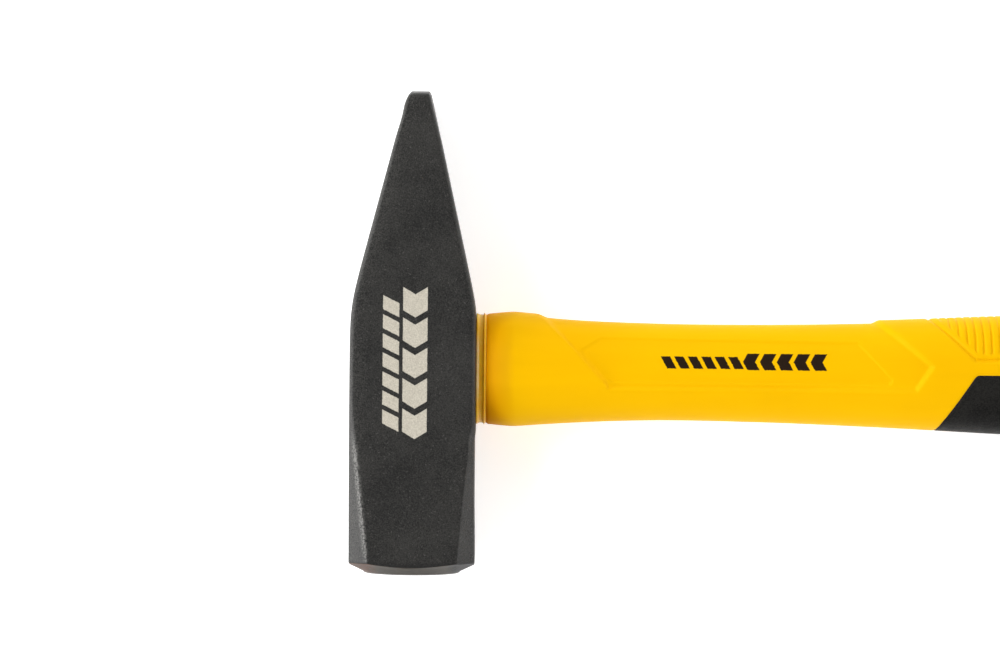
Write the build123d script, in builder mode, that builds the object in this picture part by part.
from build123d import *

import os
from math import cos, pi, sin

# Cross-peen engineer's hammer, lying on one cheek.
# +X runs along the handle to the butt, +Y to the peen, +Z up off the cheek it lies on.
# The origin is where the handle's axis crosses the eye's centre, dropped onto that cheek.
# All sizes are in millimetres.

# Head
HEAD_THICKNESS = 33.8
MID_Z = HEAD_THICKNESS / 2
BODY_LEFT_X = -16.9
BODY_RIGHT_X = 17.1
LONG_EDGE_RADIUS = 2.2
PEEN_TIP_Y = 74.7
PEEN_NOSE_LEFT_X = -0.9
PEEN_NOSE_RIGHT_X = 4.0
PEEN_BEVEL_START = (-3.1, 69.5)
SHOULDER_LEFT_Y = 15.6
SHOULDER_RIGHT_Y = 17.2
SHOULDER_RADIUS = 40.0
FACE_TIP_Y = -55.3
FACE_RIM_RADIUS = 13.3
FACE_RIM_Y = -54.4
BEVEL_BODY_RADIUS = 16.9
BEVEL_BODY_Y = -52.2
BEVEL_OUTER_RADIUS = 26.0
BEVEL_OUTER_Y = -49.2
CHAMFER_SLOPE = 0.106
CHAMFER_START_LEFT_Y = 1.1
CHAMFER_START_RIGHT_Y = -6.5

# Eye and what is bonded into it
EYE_LENGTH = 26.0
EYE_WIDTH = 16.0
EYE_MOUTH_CHAMFER = 0.8
ROD_RADIUS = 7.0
ROD_START_X = -16.2
ROD_END_X = 300.0
RESIN_START_X = -15.9

# Seal collar between the head and the handle
COLLAR_CENTRE_Y = 0.2
COLLAR_HALF_HEIGHT = 14.7
COLLAR_HALF_WIDTH = 11.6
COLLAR_LIP = 0.4
COLLAR_LIP_WIDTH = 0.8
JACKET_START_X = 19.8

# Handle sections: x, height above the axis, depth below it, half width
HANDLE_SECTIONS = [
    (JACKET_START_X, 15.0, 14.7, 11.6),
    (26.8, 15.75, 15.35, 13.2),
    (40.0, 14.6, 14.4, 12.4),
    (64.0, 13.65, 13.4, 11.4),
    (90.0, 13.5, 13.6, 11.2),
    (125.0, 14.2, 14.75, 12.0),
    (158.0, 15.6, 16.3, 12.9),
    (190.0, 16.3, 17.6, 13.7),
    (225.0, 15.8, 16.9, 13.4),
    (258.0, 15.1, 15.6, 12.9),
    (290.0, 15.6, 17.2, 13.3),
    (316.0, 17.2, 21.6, 14.6),
    (333.1, 16.2, 21.0, 13.9),
]
SECTION_POWER = 2.5
SECTION_POINTS = 14
BUTT_END_X = 333.1
BUTT_HEIGHT = 38.4
BUTT_WIDTH = 29.0
BUTT_CORNER_RADIUS = 10.0
BUTT_SIDE_RADIUS = 7.0

# Recess over the back of the jacket and down both cheeks
RECESS_DEPTH = 0.85
RECESS_OUTLINE = [(33.0, 15.8), (51.9, -3.5), (52.4, -4.7), (134.4, -4.7), (138.8, 1.8), (124.2, 15.4)]
LABEL_OUTLINE = [(45.0, 5.5), (52.1, -3.0), (127.4, -3.4), (128.2, -1.9), (119.1, 8.2), (50.4, 9.1)]
LABEL_DEPTH = 0.3

# Groove that frames the thumb panel on the back of the handle
PANEL_GROOVE_DEPTH = 0.5
PANEL_GROOVE_WIDTH = 0.7
PANEL_FRONT_TOP = (137.4, 16.2)
PANEL_FRONT_BOTTOM = (150.4, 3.7)
PANEL_REAR_BOTTOM = (205.0, 3.7)
PANEL_REAR_TOP = (218.0, 17.5)

# Soft grip
GRIP_THICKNESS = 2.2
GRIP_FRONT_BOTTOM = (138.6, -18.7)
GRIP_FRONT_LOW = (142.1, -12.9)
GRIP_FRONT_TOP = (150.5, -0.4)
GRIP_FRONT_RADIUS = 1.6
GRIP_REAR_BOTTOM = (207.0, -0.4)
GRIP_REAR_TOP = (224.0, 17.6)
GRIP_REAR_RADIUS = 3.0

# Hang hole
HANG_X = 319.5
HANG_Y = -2.2
HANG_RADIUS = 4.0
HANG_BOSS_RADIUS = 6.6

REACH = 60.0


def section_half(height, depth, half_width, side):
    """Points of one half of a handle section, from its top to its bottom."""
    points = []
    for step in range(SECTION_POINTS + 1):
        angle = pi * step / SECTION_POINTS
        up = abs(cos(angle)) ** (2 / SECTION_POWER)
        out = abs(sin(angle)) ** (2 / SECTION_POWER)
        y = height * up if angle < pi / 2 else -depth * up
        points.append((y, MID_Z + side * half_width * out))
    return points


def handle_form(shrink, start_x, end_x):
    """The handle's outer form, smaller by shrink all round, between two places along it."""
    with BuildPart() as form:
        for x, height, depth, half_width in HANDLE_SECTIONS:
            with BuildSketch(Plane.YZ.offset(x)):
                with BuildLine():
                    for side in (1, -1):
                        sized = (height - shrink, depth - shrink, half_width - shrink)
                        Spline(*section_half(*sized, side), tangents=[(0, side), (0, -side)])
                make_face()
        loft()
        length = end_x - start_x
        with Locations(((start_x + end_x) / 2, 0, MID_Z)):
            Box(length, 2 * REACH, 2 * REACH, mode=Mode.INTERSECT)
    return form.part


def butt_form(shrink):
    """Block that rounds the butt's corners, seen from the cheek and from the back."""
    length = BUTT_END_X - shrink
    height = BUTT_HEIGHT - 2 * shrink
    width = BUTT_WIDTH - 2 * shrink
    with BuildPart() as block:
        with BuildSketch(Plane.XY):
            with Locations((length / 2, HANG_Y)):
                RectangleRounded(length, height, BUTT_CORNER_RADIUS - shrink)
        extrude(amount=REACH, both=True)
        with BuildSketch(Plane.XZ):
            with Locations((length / 2, MID_Z)):
                RectangleRounded(length, width, BUTT_SIDE_RADIUS - shrink)
        extrude(amount=REACH, both=True, mode=Mode.INTERSECT)
    return block.part


def panel_prism(outline):
    """A prism of an outline on the cheek, right through the handle."""
    with BuildPart() as prism:
        with BuildSketch(Plane.XY.offset(MID_Z)):
            with BuildLine():
                Polyline(*outline, close=True)
            make_face()
        extrude(amount=REACH, both=True)
    return prism.part


os.makedirs("parts", exist_ok=True)

# Head: outline on the cheek, rounded long edges, poll chamfers, turned face, oval eye
with BuildPart() as head:
    with BuildSketch(Plane.XY):
        with BuildLine():
            Polyline(
                (BODY_LEFT_X, FACE_TIP_Y - 1),
                (BODY_LEFT_X, SHOULDER_LEFT_Y),
                PEEN_BEVEL_START,
                (PEEN_NOSE_LEFT_X, PEEN_TIP_Y),
                (PEEN_NOSE_RIGHT_X, PEEN_TIP_Y),
                (BODY_RIGHT_X, SHOULDER_RIGHT_Y),
                (BODY_RIGHT_X, FACE_TIP_Y - 1),
                close=True,
            )
        make_face()
        shoulders = vertices().filter_by(lambda corner: 0 < corner.Y < 30)
        fillet(shoulders, radius=SHOULDER_RADIUS)
    extrude(amount=HEAD_THICKNESS)
    cheek_edges = edges().group_by(Axis.Z)[0] + edges().group_by(Axis.Z)[-1]
    long_edges = cheek_edges.filter_by(lambda edge: FACE_TIP_Y < edge.center().Y < 72)
    fillet(long_edges, radius=LONG_EDGE_RADIUS)
    for side, corner_x, start_y in (
        (-1, BODY_LEFT_X, CHAMFER_START_LEFT_Y),
        (1, BODY_RIGHT_X, CHAMFER_START_RIGHT_Y),
    ):
        for cheek, cheek_z in ((-1, 0), (1, HEAD_THICKNESS)):
            chamfer_plane = Plane(
                origin=(corner_x, start_y, cheek_z),
                z_dir=(side, -CHAMFER_SLOPE, cheek),
            )
            split(bisect_by=chamfer_plane, keep=Keep.BOTTOM)
    with BuildSketch(Plane.XY.offset(MID_Z)):
        with BuildLine():
            dome = ThreePointArc(
                (0, FACE_TIP_Y),
                (FACE_RIM_RADIUS / 2, FACE_TIP_Y + (FACE_RIM_Y - FACE_TIP_Y) / 4),
                (FACE_RIM_RADIUS, FACE_RIM_Y),
            )
            Polyline(
                dome @ 1,
                (BEVEL_BODY_RADIUS, BEVEL_BODY_Y),
                (BEVEL_OUTER_RADIUS, BEVEL_OUTER_Y),
                (BEVEL_OUTER_RADIUS, FACE_TIP_Y - 4),
                (0, FACE_TIP_Y - 4),
                dome @ 0,
            )
        make_face()
    revolve(axis=Axis((0, 0, MID_Z), (0, 1, 0)), mode=Mode.SUBTRACT)
    with BuildSketch(Plane.YZ.offset(-REACH)):
        with Locations((0, MID_Z)):
            SlotOverall(EYE_LENGTH, EYE_WIDTH)
    extrude(amount=2 * REACH, mode=Mode.SUBTRACT)
    mouths = edges().filter_by(
        lambda edge: abs(edge.center().Y) < EYE_LENGTH / 2 + 1
        and edge.bounding_box().size.X < 0.01
        and abs(edge.center().Z - MID_Z) < EYE_WIDTH / 2 + 1
    )
    chamfer(mouths, length=EYE_MOUTH_CHAMFER)

# Rod that carries the load
with BuildPart() as core_rod:
    with BuildSketch(Plane.YZ.offset(ROD_START_X)):
        with Locations((0, MID_Z)):
            Circle(ROD_RADIUS)
    extrude(amount=ROD_END_X - ROD_START_X)

# Resin that fills the eye round the rod
with BuildPart() as eye_resin:
    with BuildSketch(Plane.YZ.offset(RESIN_START_X)):
        with Locations((0, MID_Z)):
            SlotOverall(EYE_LENGTH, EYE_WIDTH)
            Circle(ROD_RADIUS, mode=Mode.SUBTRACT)
    extrude(amount=BODY_RIGHT_X - EYE_MOUTH_CHAMFER - RESIN_START_X)

# Seal collar with its thin lip
with BuildPart() as eye_seal_collar:
    for start_x, end_x, growth in (
        (BODY_RIGHT_X, JACKET_START_X, 0),
        (JACKET_START_X - COLLAR_LIP_WIDTH, JACKET_START_X, COLLAR_LIP),
    ):
        with BuildSketch(Plane.YZ.offset(start_x)):
            with Locations((COLLAR_CENTRE_Y, MID_Z)):
                Ellipse(COLLAR_HALF_HEIGHT + growth, COLLAR_HALF_WIDTH + growth)
            with Locations((0, MID_Z)):
                Circle(ROD_RADIUS, mode=Mode.SUBTRACT)
        extrude(amount=end_x - start_x)

# Shared forms of the handle
outer_form = handle_form(0, JACKET_START_X, BUTT_END_X)
recess_floor = handle_form(RECESS_DEPTH, JACKET_START_X, BUTT_END_X)
panel_floor = handle_form(PANEL_GROOVE_DEPTH, JACKET_START_X, BUTT_END_X)
label_floor = handle_form(RECESS_DEPTH + LABEL_DEPTH, JACKET_START_X, BUTT_END_X)
with BuildPart() as grip_seat:
    add(handle_form(GRIP_THICKNESS, JACKET_START_X + 100, BUTT_END_X))
    add(butt_form(GRIP_THICKNESS), mode=Mode.INTERSECT)

with BuildPart() as grip_zone:
    with BuildSketch(Plane.XY.offset(MID_Z)):
        with BuildLine():
            Polyline(
                GRIP_FRONT_BOTTOM,
                GRIP_FRONT_LOW,
                GRIP_FRONT_TOP,
                GRIP_REAR_BOTTOM,
                GRIP_REAR_TOP,
                (GRIP_REAR_TOP[0], REACH),
                (BUTT_END_X + REACH, REACH),
                (BUTT_END_X + REACH, -REACH),
                (GRIP_FRONT_BOTTOM[0], -REACH),
                close=True,
            )
        make_face()
        fillet(vertices().sort_by_distance((*GRIP_FRONT_TOP, 0))[0], radius=GRIP_FRONT_RADIUS)
        fillet(vertices().sort_by_distance((*GRIP_REAR_BOTTOM, 0))[0], radius=GRIP_REAR_RADIUS)
    extrude(amount=REACH, both=True)
    with BuildSketch(Plane.XY.offset(MID_Z)):
        with Locations((HANG_X, HANG_Y)):
            Circle(HANG_BOSS_RADIUS)
    extrude(amount=REACH, both=True, mode=Mode.SUBTRACT)
    add(grip_seat.part, mode=Mode.SUBTRACT)

with BuildPart() as recess_cutter:
    open_top = [(RECESS_OUTLINE[-1][0], REACH), (RECESS_OUTLINE[0][0], REACH)]
    add(panel_prism(RECESS_OUTLINE + open_top))
    add(recess_floor, mode=Mode.SUBTRACT)

with BuildPart() as label_cutter:
    add(panel_prism(LABEL_OUTLINE))
    add(label_floor, mode=Mode.SUBTRACT)

# Groove that frames the thumb panel, down both cheeks and over the back
with BuildPart() as panel_cutter:
    with BuildSketch(Plane.XY.offset(MID_Z)):
        with BuildLine():
            Polyline(PANEL_FRONT_TOP, PANEL_FRONT_BOTTOM, PANEL_REAR_BOTTOM, PANEL_REAR_TOP)
        trace(line_width=PANEL_GROOVE_WIDTH)
    extrude(amount=REACH, both=True)
    add(panel_floor, mode=Mode.SUBTRACT)

# Yellow jacket: seat for the grip, recess, panel groove, label flat, rod bore and hang hole
with BuildPart() as handle_jacket:
    add(outer_form)
    add(butt_form(0), mode=Mode.INTERSECT)
    add(grip_zone.part, mode=Mode.SUBTRACT)
    add(recess_cutter.part, mode=Mode.SUBTRACT)
    add(panel_cutter.part, mode=Mode.SUBTRACT)
    add(label_cutter.part, mode=Mode.SUBTRACT)
    with BuildSketch(Plane.YZ.offset(JACKET_START_X)):
        with Locations((0, MID_Z)):
            Circle(ROD_RADIUS)
    extrude(amount=ROD_END_X - JACKET_START_X, mode=Mode.SUBTRACT)
    with BuildSketch(Plane.XY.offset(MID_Z)):
        with Locations((HANG_X, HANG_Y)):
            Circle(HANG_RADIUS)
    extrude(amount=REACH, both=True, mode=Mode.SUBTRACT)

# Soft grip on the finger side and round the butt
with BuildPart() as grip:
    add(outer_form)
    add(butt_form(0), mode=Mode.INTERSECT)
    add(grip_zone.part, mode=Mode.INTERSECT)

for piece, node in (
    (head, "head"),
    (core_rod, "core_rod"),
    (eye_resin, "eye_resin"),
    (eye_seal_collar, "eye_seal_collar"),
    (handle_jacket, "handle_jacket"),
    (grip, "grip"),
):
    piece.part.label = node
    export_step(piece.part, f"parts/{node}.step")
